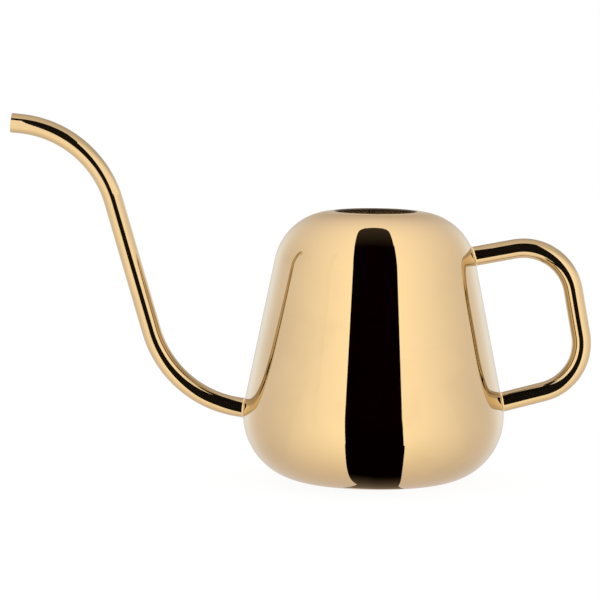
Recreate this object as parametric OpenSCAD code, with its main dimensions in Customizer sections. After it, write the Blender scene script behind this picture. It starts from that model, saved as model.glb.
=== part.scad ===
// Watering can with a long bent spout and a loop handle.
// A round body of thin sheet, closed by a welded base pan, carries two bent tubes of one size.
// The origin is on the body's axis, on the surface the can stands on. The spout points along -X,
// the handle along +X, and both tubes lie in the plane Y = 0.

/* [Body] */
// Outside diameter of the body at its widest
body_d = 146; // [130:1:170]
// Height of the body, from the surface it stands on to the mouth's rim
body_h = 151; // [140:1:190]
// Outside radius of the round lower corner
corner_r = 36.5; // [32:0.5:42]
// Outside radius of the round shoulder
shoulder_r = 33.3; // [28:0.1:38]
// Thickness of the sheet
sheet_t = 0.8; // [0.6:0.1:1.2]

/* [Mouth] */
// Clear diameter of the mouth
mouth_d = 45; // [38:1:56]
// Radius of the hem rolled round the mouth
hem_r = 0.8; // [0.6:0.1:1.5]
// Height by which the hem stands proud of the shoulder
hem_proud = 0.2; // [0.1:0.05:0.5]

/* [Base] */
// Height of the seam between the shell and the base pan
seam_z = 24; // [15:1:28]
// Width of the flat ring the can stands on
ring_w = 6.5; // [4:0.5:10]
// Height of the raised middle of the base
base_rise = 1.5; // [1:0.1:4]
// Radius of the bead that joins the shell and the base pan, on the inside
seam_bead_r = 1.2; // [0.8:0.1:2]

/* [Tubes] */
// Outside diameter of the spout's tube and the handle's tube
tube_d = 11; // [8:0.5:14]
// Wall of the spout's tube and the handle's tube
tube_t = 0.9; // [0.6:0.1:1.4]
// How much slimmer a tube's radius is drawn where the tube is bent
bend_draw = 0.05; // [0.05:0.05:0.2]
// Width of the bead round the foot of each tube
foot_bead = 0.6; // [0.4:0.1:1.5]

/* [Spout] */
// Height at which the spout's centre line leaves the body
spout_z = 39.7; // [38:0.1:46]
// Angle by which the spout rises where it leaves the body
spout_rise = 5.4; // [0:0.1:15]
// Bend radius of the spout, to the tube's centre line
spout_bend_r = 60; // [40:1:80]
// Lean of the spout's long straight stretch, away from upright
spout_lean = 16.6; // [10:0.1:30]
// Length of the spout's long straight stretch
spout_straight = 75.8; // [50:0.1:120]
// Angle by which the spout's tip rises
tip_rise = 5; // [0:1:20]
// Length of the straight stretch at the spout's tip
tip_straight = 5.1; // [3:0.1:15]

/* [Handle] */
// Depth of the upper leg's centre line below the mouth's rim, at the body
handle_drop = 24.6; // [22:0.1:32]
// Angle by which the upper leg rises from the body
upper_rise = 11; // [0:0.5:20]
// Length of the upper leg, from the body to its bend
upper_straight = 22.6; // [12:0.1:35]
// Bend radius of the handle, to the tube's centre line
handle_bend_r = 28.2; // [20:0.1:32]
// Lean of the grip, whose foot is further out than its top
grip_lean = 10.6; // [0:0.1:15]
// Length of the grip's straight stretch
grip_straight = 25.4; // [20:0.1:40]
// Angle by which the lower leg rises from the body
lower_rise = 15; // [5:0.5:20]

/* [Hidden] */

gold = "#e2bf86";
bead_gold = "#cfa86a";
$fn = 180;

// How far a tube's sweep runs on inside the body before the body's surface trims it
root_in = 8;
// Angle of the spout's first bend that lies inside the body
bend_in = 4;
// How far a cut runs past the face it opens
past = 1;
// Depth by which a flat or the straight wall cuts into the rounds that it meets
blend = 0.02;
// Length by which a tube's straight stretch runs on over the drawn-down end of a bend
lap = 0.2;

// Body: centres of the two round stretches in the (radius, height) plane
foot_r = body_d / 2 - corner_r;
neck_r = mouth_d / 2 + hem_r;
shell_top = body_h - hem_proud;
corner_c = [foot_r, corner_r - blend];
shoulder_c = [neck_r, shell_top - shoulder_r + blend];

// The straight wall touches both rounds, and faces out at this angle above level
centre_gap = shoulder_c - corner_c;
wall_tilt = atan2(centre_gap.y, centre_gap.x)
    - acos((corner_r - shoulder_r) / norm(centre_gap));
corner_top = corner_c.y + corner_r * sin(wall_tilt);
shoulder_foot = shoulder_c.y + shoulder_r * sin(wall_tilt);

// Outside radius of the body at height z, from the lower corner to the shoulder
function wall_r(z) =
    z < corner_top ? corner_c.x + sqrt(corner_r ^ 2 - (z - corner_c.y) ^ 2) :
    z > shoulder_foot ? shoulder_c.x + sqrt(shoulder_r ^ 2 - (z - shoulder_c.y) ^ 2) :
    corner_c.x + corner_r * cos(wall_tilt) - (z - corner_top) * tan(wall_tilt);

// Base: inside radius of the flat ring, and how the 45 degree step widens on its upper side
ring_in_r = foot_r - ring_w;
step_gain = sheet_t * tan(22.5);

// Tubes: a place is [x, z, heading], with the heading in degrees from +X towards +Z
tube_r = tube_d / 2;
bore_r = tube_r - tube_t;

function dir(h) = [cos(h), sin(h)];
function ahead(p, l) = [p.x + l * cos(p.z), p.y + l * sin(p.z), p.z];

// Centre of a bend of radius r to the left of place p (side 1) or to its right (side -1), and
// the place reached where the heading on that bend has changed by turn
function bend_centre(p, side, r) = [p.x, p.y] + side * r * dir(p.z + 90);
function round_bend(p, side, r, turn) =
    let (e = bend_centre(p, side, r) - side * r * dir(p.z + 90 + turn))
    [e.x, e.y, p.z + turn];

// Place after n legs, where a leg is [straight length, turn at its end, bend radius]
function after(p, legs, n) =
    n == 0 ? p :
    let (leg = legs[n - 1], q = ahead(after(p, legs, n - 1), leg[0]))
    round_bend(q, sign(leg[1]), leg[2], leg[1]);

// Spout: its first bend starts just inside the body, and its second ends at the tip
spout_root = [-wall_r(spout_z), spout_z, 180 - spout_rise];
spout_start = ahead(round_bend(spout_root, -1, spout_bend_r, bend_in), -root_in);
spout_bends = [
    [root_in, -(90 - spout_rise - spout_lean + bend_in), spout_bend_r],
    [spout_straight, 90 - spout_lean - tip_rise, spout_bend_r]
];
spout_legs = concat(spout_bends, [[tip_straight, 0, spout_bend_r]]);
spout_bore = concat(spout_bends, [[tip_straight + past, 0, spout_bend_r]]);

// Handle: from inside the body, out, down the grip, and back into the body
handle_z = body_h - handle_drop;
handle_root = [wall_r(handle_z), handle_z, upper_rise];
handle_start = ahead(handle_root, -root_in);
upper_legs = [
    [root_in + upper_straight, -(90 + upper_rise - grip_lean), handle_bend_r],
    [grip_straight, -(90 + grip_lean - lower_rise), handle_bend_r]
];
lower_top = after(handle_start, upper_legs, 2);
lower_straight = (lower_top.x - wall_r(lower_top.y)) / cos(lower_rise) + root_in;
handle_legs = concat(upper_legs, [[lower_straight, 0, handle_bend_r]]);

// Half outline of the body, filled in to its axis and drawn in from the outside by inset
module body_outline(inset = 0) {
    corner = corner_r - inset;
    shoulder = shoulder_r - inset;
    intersection() {
        translate([0, inset])
            square([body_d, shell_top - 2 * inset]);
        union() {
            intersection() {
                translate([neck_r / 2, -past])
                    square([body_d, body_h + 2 * past]);
                union() {
                    translate(corner_c)
                        circle(corner);
                    translate(shoulder_c)
                        circle(shoulder);
                }
            }
            polygon([
                [0, -past],
                [foot_r - past, -past],
                corner_c + (corner - blend) * dir(wall_tilt),
                shoulder_c + (shoulder - blend) * dir(wall_tilt),
                [neck_r - past, body_h + past],
                [0, body_h + past]
            ]);
        }
    }
}

// The body as one filled solid, used to trim what stands on it
module body_solid(inset = 0) {
    rotate_extrude()
        body_outline(inset);
}

// Half section of the sheet wall, open at the mouth and closed below
module wall_outline() {
    difference() {
        body_outline();
        body_outline(sheet_t);
        translate([0, shell_top - 2 * sheet_t])
            square([neck_r, 2 * sheet_t + past]);
    }
}

// A round rod along legs, from place p, of radius r on its straights and drawn down on its bends
module sweep(p, legs, r) {
    for (i = [0 : len(legs) - 1]) {
        leg = legs[i];
        from = after(p, legs, i);
        bend = ahead(from, leg[0]);
        lap_in = i > 0 ? lap : 0;
        lap_out = leg[1] != 0 ? lap : 0;
        rod = ahead(from, -lap_in);
        translate([rod.x, 0, rod.y])
            rotate([0, 90 - rod.z, 0])
                cylinder(r = r, h = lap_in + leg[0] + lap_out);
        if (leg[1] != 0) {
            centre = bend_centre(bend, sign(leg[1]), leg[2]);
            first = leg[1] > 0 ? bend.z - 90 : bend.z + 90 + leg[1];
            translate([centre.x, 0, centre.y])
                rotate([90, 0, 0])
                    rotate([0, 0, first])
                        rotate_extrude(angle = abs(leg[1]))
                            translate([leg[2], 0])
                                circle(r - bend_draw);
        }
    }
}

// A bead round a tube's foot, lying on the body and on the tube
module foot_weld(p, legs) {
    color(bead_gold)
        difference() {
            intersection() {
                body_solid(-foot_bead);
                sweep(p, legs, tube_r + foot_bead);
            }
            body_solid();
            sweep(p, legs, tube_r);
        }
}

// Spun upper shell: wall, shoulder and hemmed mouth, drilled where the spout stands
module body_shell() {
    color(gold)
        difference() {
            rotate_extrude() {
                intersection() {
                    wall_outline();
                    translate([0, seam_z])
                        square([body_d, body_h]);
                }
                translate([neck_r, body_h - hem_r])
                    circle(hem_r);
            }
            sweep(spout_start, [spout_bends[0]], bore_r);
        }
}

// Pressed base pan: lower corner, flat ring to stand on and raised middle
module base_pan() {
    color(gold)
        rotate_extrude()
            difference() {
                union() {
                    intersection() {
                        wall_outline();
                        square([body_d, seam_z]);
                    }
                    polygon([
                        [0, 0],
                        [ring_in_r + step_gain, 0],
                        [ring_in_r + step_gain, sheet_t],
                        [ring_in_r + step_gain - base_rise, sheet_t + base_rise],
                        [0, sheet_t + base_rise]
                    ]);
                }
                polygon([
                    [0, -past],
                    [ring_in_r + past, -past],
                    [ring_in_r - base_rise, base_rise],
                    [0, base_rise]
                ]);
            }
}

// Ring bead over the seam, on the inside of the shell and the base pan
module seam_weld() {
    color(bead_gold)
        rotate_extrude()
            intersection() {
                body_outline(sheet_t);
                translate([wall_r(seam_z) - sheet_t, seam_z])
                    circle(seam_bead_r);
            }
}

// Spout: a bent tube, coped to the body at its foot and cut square at its tip
module spout_tube() {
    color(gold)
        difference() {
            sweep(spout_start, spout_legs, tube_r);
            sweep(spout_start, spout_bore, bore_r);
            body_solid();
        }
}

// Bead round the spout's foot
module spout_weld() {
    foot_weld(spout_start, [spout_bends[0]]);
}

// Handle: a bent tube, coped to the body at both its ends
module handle_tube() {
    color(gold)
        difference() {
            sweep(handle_start, handle_legs, tube_r);
            sweep(handle_start, handle_legs, bore_r);
            body_solid();
        }
}

// Bead round the foot of the handle's upper leg
module handle_weld_upper() {
    foot_weld(handle_start, [upper_legs[0]]);
}

// Bead round the foot of the handle's lower leg
module handle_weld_lower() {
    foot_weld(lower_top, [handle_legs[2]]);
}

body_shell();
base_pan();
seam_weld();
spout_tube();
spout_weld();
handle_tube();
handle_weld_upper();
handle_weld_lower();
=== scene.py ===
"""Looks of a small polished watering can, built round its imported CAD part.

Polished metal shows every facet in what it reflects, so the body and the bent tubes are worked out
again here as fine surfaces that carry their exact normals. Lengths are in metres, and angles in
degrees unless a comment says radians. The can stands on Z = 0 with its axis on Z, the spout points
along -X, the handle along +X, and both tubes are bent in the plane Y = 0.
"""

import sys
import logging
from collections.abc import Callable
from dataclasses import dataclass, replace
from enum import Enum

import bpy
import numpy as np
from mathutils import Matrix, Vector


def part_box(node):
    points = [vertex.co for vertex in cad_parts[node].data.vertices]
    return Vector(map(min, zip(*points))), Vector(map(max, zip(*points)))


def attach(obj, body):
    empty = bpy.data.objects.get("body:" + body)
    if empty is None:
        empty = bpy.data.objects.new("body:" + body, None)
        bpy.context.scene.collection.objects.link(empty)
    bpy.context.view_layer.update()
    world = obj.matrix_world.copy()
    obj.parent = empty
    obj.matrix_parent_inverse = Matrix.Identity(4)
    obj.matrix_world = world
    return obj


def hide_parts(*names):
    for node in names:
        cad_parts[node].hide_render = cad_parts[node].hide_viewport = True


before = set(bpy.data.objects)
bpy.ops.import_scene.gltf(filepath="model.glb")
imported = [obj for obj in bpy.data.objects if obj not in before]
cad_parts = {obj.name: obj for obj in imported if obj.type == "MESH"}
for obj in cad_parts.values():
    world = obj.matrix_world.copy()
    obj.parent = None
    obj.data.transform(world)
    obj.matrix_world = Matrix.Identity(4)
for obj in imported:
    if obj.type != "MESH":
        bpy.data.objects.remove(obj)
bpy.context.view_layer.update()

log = logging.getLogger("watering_can")

Array = np.ndarray
Colour = tuple[float, float, float]
Place = tuple[float, float, float]
Tree = bpy.types.NodeTree
Socket = bpy.types.NodeSocket

MM = 0.001
BODY = "root"

TURN_STEPS = 320       # columns of a surface turned about the can's axis
TUBE_STEPS = 96        # columns round a tube
MERGE = 1e-7           # corners closer together than this become one vertex
MERGE_SHIFT = 0.37e-7  # keeps round sizes away from the limits between two merging cells
HALVINGS = 40          # times that the stretch in which a line meets the body is halved
# SHADED marks the lip of the mouth, which is painted in shade: its dark colour stands for shadow.
SHADED = 0.5           # value of the attribute "inside" on the shaded lip of the mouth
GRAIN_R = 20 * MM      # radius at which the grain coordinates of a turned surface are wrapped


# Geometry


def unit(vectors: Array) -> Array:
    """Vectors divided by their lengths, along the last axis."""
    return vectors / np.linalg.norm(vectors, axis=-1, keepdims=True)


def steps_between(start: float, end: float, widest: float) -> Array:
    """Evenly spaced values from start to end, at least two, no further apart than widest."""
    return np.linspace(start, end, max(1, int(np.ceil(abs(end - start) / widest))) + 1)


def full_turn(steps: int) -> Array:
    """Angles of equal steps round a circle, the last of which is the first again.

    Args:
        steps: how many steps.

    Returns:
        The angles in radians, one more than the steps.
    """
    angles = np.linspace(0, 2 * np.pi, steps + 1)
    angles[-1] = 0
    return angles


def quarter_left(pair: Array) -> Array:
    """A direction in a plane turned a quarter turn to its left: (a, b) becomes (-b, a)."""
    return np.stack([-pair[..., 1], pair[..., 0]], axis=-1)


def grid_faces(rows: int, columns: int, first: int) -> Array:
    """Corner numbers of a grid's faces, (rows - 1, columns - 1, 4), its points counted from first."""
    number = first + np.arange(rows * columns).reshape(rows, columns)
    return np.stack([number[:-1, :-1], number[:-1, 1:], number[1:, 1:], number[1:, :-1]], axis=-1)


def grid_normals(points: Array, middle: Array) -> Array:
    """Normals of a grid that closes on itself along its columns.

    Each is the cross product of the step down the rows and the step along the columns, which
    reaches round from the last column to the first.

    Args:
        points: (rows, columns + 1, 3) points, whose last column repeats the first.
        middle: points that the normals face away from, which broadcast to the grid.

    Returns:
        Unit normals, in the shape of points.
    """
    down = np.gradient(points, axis=0)
    ring = points[:, :-1]
    along = np.roll(ring, -1, axis=1) - np.roll(ring, 1, axis=1)
    along = np.concatenate([along, along[:, :1]], axis=1)
    normals = unit(np.cross(down, along))
    outward = np.sum(normals * (points - middle), axis=-1, keepdims=True)
    return np.where(outward < 0, -normals, normals)


@dataclass(frozen=True)
class Section:
    """A run of points in half a cut through the body, and the way that the surface faces at each.

    Attributes:
        points: (radius, height) of each point.
        facing: (radius, height) parts of the unit normal at each point.
    """

    points: Array
    facing: Array

    @classmethod
    def arc(cls, centre: Array, radius: float, start: float, end: float,
            step: float = 2.0, hollow: bool = False) -> "Section":
        """A round stretch, whose point at angle a is centre + radius (cos a, sin a).

        Args:
            centre: (radius, height) of the arc's centre.
            radius: the arc's own radius.
            start: angle of its first point, above level.
            end: angle of its last point.
            step: widest angle between two points.
            hollow: whether the surface faces the centre instead of away from it.

        Returns:
            The arc as a section.
        """
        angle = np.radians(steps_between(start, end, step))
        ray = np.stack([np.cos(angle), np.sin(angle)], axis=-1)
        return cls(centre + radius * ray, -ray if hollow else ray)

    @classmethod
    def line(cls, start: Array, end: Array, side: int, step: float = 2 * MM) -> "Section":
        """A straight stretch, whose point at share s of the way is start + s (end - start).

        Args:
            start: (radius, height) of its first point.
            end: (radius, height) of its last point.
            side: 1 where it faces to the left of its direction, -1 where it faces to the right.
            step: widest distance between two points.

        Returns:
            The stretch as a section.
        """
        share = steps_between(0, 1, step / np.linalg.norm(end - start))[:, None]
        facing = side * quarter_left(unit(end - start))
        return cls(start + share * (end - start), np.broadcast_to(facing, (len(share), 2)))

    @classmethod
    def folded(cls, corners: list[tuple[float, float]], radii: list[float], side: int,
               step: float = 9.0) -> "Section":
        """A line through corners, in which an arc that touches both sides rounds each inner corner.

        An arc of radius r in a corner that turns by t begins r tan(t / 2) before the corner.

        Args:
            corners: (radius, height) of the line's ends and of the corners between them.
            radii: radius of the arc in each inner corner.
            side: 1 when the surface faces to the left of the line, -1 when it faces to the right.
            step: widest angle between two points of an arc.

        Returns:
            The whole line as one section.
        """
        knots = np.asarray(corners, float)
        ahead = unit(np.diff(knots, axis=0))
        begun = knots[0]
        pieces = []
        for knot, before, after, radius in zip(knots[1:], ahead, ahead[1:], radii):
            turn = np.arctan2(quarter_left(before) @ after, before @ after)
            way = int(np.sign(turn))
            start = knot - radius * np.tan(abs(turn) / 2) * before
            ray = -way * quarter_left(before)
            first = np.degrees(np.arctan2(ray[1], ray[0]))
            pieces.append(cls.line(begun, start, side))
            pieces.append(cls.arc(start - radius * ray, radius, first, first + np.degrees(turn),
                                  step, hollow=side == way))
            begun = pieces[-1].points[-1]
        pieces.append(cls.line(begun, knots[-1], side))
        whole = pieces[0]
        for piece in pieces[1:]:
            whole = whole.then(piece)
        return whole

    def then(self, other: "Section") -> "Section":
        """This section followed by another, which starts where it ends and faces the same way."""
        return Section(np.concatenate([self.points, other.points[1:]]),
                       np.concatenate([self.facing, other.facing[1:]]))

    @property
    def run(self) -> Array:
        """Distance of each point from the first, along the section."""
        strides = np.linalg.norm(np.diff(self.points, axis=0), axis=-1)
        return np.concatenate([[0.0], np.cumsum(strides)])


@dataclass(frozen=True)
class Patch:
    """A grid of surface points, in which every four neighbours make a face.

    Attributes:
        points: (rows, columns, 3) places.
        normals: outward unit normals at the points.
        grain: coordinates that follow the surface, two round it and one along it, for polishing marks.
        inside: 0 on an outer, polished surface, SHADED on a lip painted in shade and 1 on an
        inner, duller surface; fits the grid.
        keep: (rows - 1, columns - 1) mask of the cells that are faces, or None where all of them are.
    """

    points: Array
    normals: Array
    grain: Array
    inside: Array | float = 0.0
    keep: Array | None = None

    def cells(self, first: int) -> Array:
        """The four corner numbers of each face, counted from first."""
        corners = grid_faces(*self.points.shape[:2], first)
        return corners.reshape(-1, 4) if self.keep is None else corners[self.keep]


def turned(section: Section, inside: float = 0.0) -> Patch:
    """A section carried round Z: its (radius r, height z) at angle t stands at (r cos t, r sin t, z).

    Args:
        section: the section.
        inside: value of the patch's attribute of that name.

    Returns:
        The surface of revolution.
    """
    angle = full_turn(TURN_STEPS)
    spin = np.stack([np.cos(angle), np.sin(angle)], axis=-1)

    def round_axis(radius: Array, height: Array) -> Array:
        """Pairs (radius, height) carried round the axis.

        Args:
            radius: their radii, one for each row.
            height: their heights.

        Returns:
            (rows, columns, 3) places or directions.
        """
        flat = radius[:, None, None] * spin
        tall = np.broadcast_to(height[:, None, None], flat.shape[:2] + (1,))
        return np.concatenate([flat, tall], axis=-1)

    run = section.run
    return Patch(round_axis(*section.points.T), round_axis(*section.facing.T),
                 round_axis(np.full(len(run), GRAIN_R), run), inside)


def closed_mesh(name: str, patches: list[Patch]) -> bpy.types.Mesh:
    """One closed mesh from patches that share their edges.

    Corners in the same place become one vertex, a face with two corners in one place becomes a
    triangle, and each face is turned to lie the way that its corner normals face. The corners keep
    their own normals, so an edge between two patches is as sharp as their normals make it.

    Args:
        name: the mesh's name.
        patches: the surface, in pieces.

    Returns:
        The mesh, with the corner attributes "grain" and "inside".
    """
    sizes = [patch.points.shape[0] * patch.points.shape[1] for patch in patches]
    starts = np.cumsum([0] + sizes[:-1])
    places = np.concatenate([patch.points.reshape(-1, 3) for patch in patches])
    normals = np.concatenate([patch.normals.reshape(-1, 3) for patch in patches])
    grain = np.concatenate([patch.grain.reshape(-1, 3) for patch in patches])
    inside = np.concatenate([np.broadcast_to(patch.inside, patch.points.shape[:2]).ravel()
                             for patch in patches])
    corners = np.concatenate([patch.cells(first) for patch, first in zip(patches, starts)])

    diagonals = places[corners[:, 2:]] - places[corners[:, :2]]
    across = np.cross(diagonals[:, 0], diagonals[:, 1])
    backwards = np.sum(across * normals[corners].sum(axis=1), axis=-1) < 0
    corners[backwards] = corners[backwards, ::-1]

    keys = np.floor((places + MERGE_SHIFT) / MERGE).astype(np.int64)
    _, first_use, vertex = np.unique(keys, axis=0, return_index=True, return_inverse=True)
    vertex = vertex.reshape(-1)
    wanted = vertex[corners] != vertex[np.roll(corners, -1, axis=1)]
    whole = wanted.sum(axis=1) > 2
    corners, wanted = corners[whole], wanted[whole]
    loops = corners[wanted]
    face_starts = np.concatenate([[0], np.cumsum(wanted.sum(axis=1))[:-1]])

    mesh = bpy.data.meshes.new(name)
    mesh.vertices.add(len(first_use))
    mesh.vertices.foreach_set("co", places[first_use].ravel())
    mesh.loops.add(len(loops))
    mesh.loops.foreach_set("vertex_index", vertex[loops])
    mesh.polygons.add(len(face_starts))
    mesh.polygons.foreach_set("loop_start", face_starts)
    mesh.update(calc_edges=True)
    mesh.shade_smooth()
    follow = mesh.attributes.new("grain", "FLOAT_VECTOR", "CORNER")
    follow.data.foreach_set("vector", grain[loops].ravel())
    mesh.attributes.new("inside", "FLOAT", "CORNER").data.foreach_set("value", inside[loops])
    mesh.normals_split_custom_set(normals[loops])
    return mesh


def open_edges(mesh: bpy.types.Mesh) -> int:
    """Counts the edges of a mesh that have other than two faces.

    Args:
        mesh: the mesh.

    Returns:
        Their number, which is 0 where the mesh is closed.
    """
    edges = np.zeros(len(mesh.loops), int)
    mesh.loops.foreach_get("edge_index", edges)
    return int(np.count_nonzero(np.bincount(edges, minlength=len(mesh.edges)) != 2))


@dataclass(frozen=True)
class BodyShape:
    """Half outline of the round body: a lower corner, a straight wall and a shoulder, then the hem.

    The corner and the shoulder are arcs, and the wall is the line that touches both from outside.

    Attributes:
        widest_r: outside radius where the body is widest.
        height: height of the hem's top.
        seam_z: height of the seam between the shell and the pan.
        corner_r: outside radius of the lower corner's arc.
        shoulder_r: outside radius of the shoulder's arc.
        mouth_r: radius of the mouth, within the hem.
        hem_r: radius of the hem's round section.
        hem_proud: how far the hem stands above the shoulder.
        sheet_t: thickness of the sheet.
    """

    widest_r: float
    height: float
    seam_z: float
    corner_r: float = 36.5 * MM
    shoulder_r: float = 33.3 * MM
    mouth_r: float = 22.5 * MM
    hem_r: float = 0.8 * MM
    hem_proud: float = 0.2 * MM
    sheet_t: float = 0.8 * MM

    @classmethod
    def from_frame(cls) -> "BodyShape":
        """The body whose widest radius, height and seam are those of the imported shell."""
        low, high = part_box("body_shell")
        return cls(widest_r=min(high.x, high.y, -low.x, -low.y), height=high.z, seam_z=low.z)

    @property
    def corner_c(self) -> Array:
        """Centre of the lower corner, as (radius, height)."""
        return np.array([self.widest_r - self.corner_r, self.corner_r])

    @property
    def hem_c(self) -> Array:
        """Centre of the hem's round section."""
        return np.array([self.mouth_r + self.hem_r, self.height - self.hem_r])

    @property
    def shoulder_c(self) -> Array:
        """Centre of the shoulder, straight below the hem's."""
        return np.array([self.hem_c[0], self.height - self.hem_proud - self.shoulder_r])

    @property
    def tilt(self) -> float:
        """Angle above level at which the straight wall faces.

        The wall touches both arcs, so the way that it faces makes an angle with the line between
        their centres whose cosine is the difference of their radii over the centres' distance.

        Returns:
            The angle.
        """
        gap = self.shoulder_c - self.corner_c
        drawn_in = np.arccos((self.corner_r - self.shoulder_r) / np.linalg.norm(gap))
        return float(np.degrees(np.arctan2(gap[1], gap[0]) - drawn_in))

    def wall(self, height: Array, inset: float = 0.0) -> tuple[Array, Array]:
        """Radius of the body and the angle at which it faces, from the seam to the hem.

        On an arc of radius r about (c, h), the radius at height z is c + sqrt(r^2 - (z - h)^2) and
        the surface faces at asin((z - h) / r). The straight wall holds (radius - c) cos tilt +
        (z - h) sin tilt = r, with the corner's c, h and r.

        Args:
            height: heights to work at.
            inset: distance of the surface from the outside of the sheet.

        Returns:
            The radii, and the angles above level in radians.
        """
        tilt = np.radians(self.tilt)
        corner, shoulder = self.corner_r - inset, self.shoulder_r - inset
        above_corner = (height - self.corner_c[1]) / corner
        above_shoulder = (height - self.shoulder_c[1]) / shoulder
        on_arc = [above_corner < np.sin(tilt), above_shoulder > np.sin(tilt)]
        low = np.arcsin(np.clip(above_corner, -1, 1))
        high = np.arcsin(np.clip(above_shoulder, -1, 1))
        straight = self.corner_c[0] + corner * (1 - above_corner * np.sin(tilt)) / np.cos(tilt)
        radius = np.select(on_arc, [self.corner_c[0] + corner * np.cos(low),
                                    self.shoulder_c[0] + shoulder * np.cos(high)], straight)
        return radius, np.select(on_arc, [low, high], tilt)

    def hem_meets(self, inset: float) -> tuple[float, float]:
        """Where the hem's circle crosses the shoulder's.

        The law of cosines, in the triangle of the two centres and the crossing, gives the angle at
        the hem's centre between straight up and the crossing.

        Args:
            inset: distance of the shoulder's surface from the outside of the sheet.

        Returns:
            The crossing's angle above level seen from the hem's centre, and from the shoulder's.
        """
        rise = self.hem_c[1] - self.shoulder_c[1]
        radius = self.shoulder_r - inset
        from_up = np.arccos((radius**2 - rise**2 - self.hem_r**2) / (2 * rise * self.hem_r))
        crossing = self.hem_c + self.hem_r * np.array([np.sin(from_up), np.cos(from_up)])
        seen = crossing - self.shoulder_c
        return 90 - float(np.degrees(from_up)), float(np.degrees(np.arctan2(seen[1], seen[0])))

    def seam_tilt(self, inset: float) -> float:
        """Angle above level at which the surface faces at the seam, where it is the corner's arc.

        A point of an arc of radius r at height h over its centre faces at asin(h / r).

        Args:
            inset: distance of the surface from the outside of the sheet.

        Returns:
            The angle.
        """
        rise = self.seam_z - self.corner_c[1]
        return float(np.degrees(np.arcsin(rise / (self.corner_r - inset))))

    def shell_wall(self, inset: float = 0.0) -> Section:
        """The shell from the seam to the hem, facing out, or in where there is an inset.

        Args:
            inset: distance of the surface from the outside of the sheet.

        Returns:
            The lower corner's arc, the straight wall and the shoulder's arc as one section.
        """
        hollow = inset > 0
        low = Section.arc(self.corner_c, self.corner_r - inset, self.seam_tilt(inset), self.tilt,
                          hollow=hollow)
        high = Section.arc(self.shoulder_c, self.shoulder_r - inset, self.tilt,
                           self.hem_meets(inset)[1], hollow=hollow)
        straight = Section.line(low.points[-1], high.points[0], side=1 if hollow else -1)
        return low.then(straight).then(high)

    def hem(self) -> Section:
        """The hem's round section, from the outside of the shoulder over the rim to its inside."""
        outside, inside = self.hem_meets(0.0)[0], self.hem_meets(self.sheet_t)[0]
        return Section.arc(self.hem_c, self.hem_r, outside, inside + 360, step=12)

    def seam_edge(self, up: bool) -> Section:
        """The sheet's edge at the seam, level across its thickness.

        Args:
            up: whether it faces up, as the pan's edge does, or down, as the shell's does.

        Returns:
            The edge, from the outside in.
        """
        ends = [np.array([self.wall(self.seam_z, inset)[0], self.seam_z])
                for inset in (0.0, self.sheet_t)]
        return Section.line(*ends, side=-1 if up else 1)

    def lower_corner(self, inset: float = 0.0) -> Section:
        """The pan's round corner from the seam down to the ground, facing out, or in with an inset."""
        return Section.arc(self.corner_c, self.corner_r - inset, self.seam_tilt(inset), -90,
                           hollow=inset > 0)


def meets_body(line: Callable[[Array], Array], within: Array, beyond: Array,
               body: BodyShape, inset: float = 0.0) -> Array:
    """Distances along lines at which they cross the body's surface, found by halving.

    Args:
        line: gives the lines' points at distances along them.
        within: distances at which every line is inside the surface.
        beyond: distances at which every line is outside it.
        body: the body.
        inset: distance of the surface from the outside of the sheet.

    Returns:
        The distances, one for each line.
    """
    for _ in range(HALVINGS):
        middle = (within + beyond) / 2
        point = line(middle)
        short = np.hypot(point[..., 0], point[..., 1]) < body.wall(point[..., 2], inset)[0]
        within = np.where(short, middle, within)
        beyond = np.where(short, beyond, middle)
    return (within + beyond) / 2


@dataclass(frozen=True)
class Leg:
    """A straight stretch of tube, and the bend that may follow it.

    Attributes:
        straight: length of the straight stretch.
        turn: angle of the bend, to the left where it is positive.
        bend_r: radius of the bend, to the tube's centre line.
    """

    straight: float
    turn: float = 0.0
    bend_r: float = 0.0


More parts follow.
